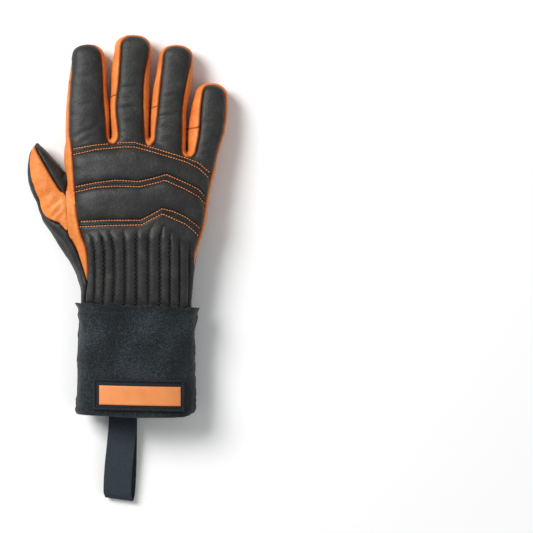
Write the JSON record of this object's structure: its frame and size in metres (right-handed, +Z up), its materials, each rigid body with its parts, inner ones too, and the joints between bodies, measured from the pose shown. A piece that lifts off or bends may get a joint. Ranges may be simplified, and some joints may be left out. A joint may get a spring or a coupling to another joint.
{
  "type": "hunting glove",
  "caption": "Right-hand leather hunting glove with padded back, contrasting side strips, suede gauntlet cuff, bare label patch and webbing hang loop.",
  "frame": {"origin": "under the middle of the glove's box, on the surface that it lies on, palm down", "axes": "+X from the thumb towards the little finger, +Y from the hang loop towards the fingertips, +Z up out of the back of the hand"},
  "size_m": [0.1548, 0.3656, 0.041],
  "materials": {
    "black_leather": "soft grained charcoal-black nappa",
    "orange_leather": "soft grained orange nappa",
    "suede": "blue-black napped suede",
    "label_patch": "dark close-stitched backing",
    "label_plate": "smooth matt orange, bare",
    "webbing": "woven polyester tape"
  },
  "bodies": {
    "root": {"finger_back_index": "black_leather", "finger_back_middle": "black_leather", "finger_back_ring": "black_leather", "finger_back_little": "black_leather", "knuckle_pad": "black_leather", "hand_pad": "black_leather", "ribbed_wrist": "black_leather", "finger_front_index": "black_leather", "finger_front_middle": "black_leather", "finger_front_ring": "black_leather", "finger_front_little": "black_leather", "palm_patch": "black_leather", "palm_heel": "black_leather", "thumb_outer": "black_leather", "thumb_gusset": "black_leather", "thumb_back": "orange_leather", "fourchette_index": "orange_leather", "fourchette_middle": "orange_leather", "fourchette_ring": "orange_leather", "fourchette_little": "orange_leather", "side_strip_index": "orange_leather", "side_strip_little": "orange_leather", "cuff": "suede", "label_frame": "label_patch", "label": "label_plate", "hang_loop": "webbing"}
  },
  "joints": []
}
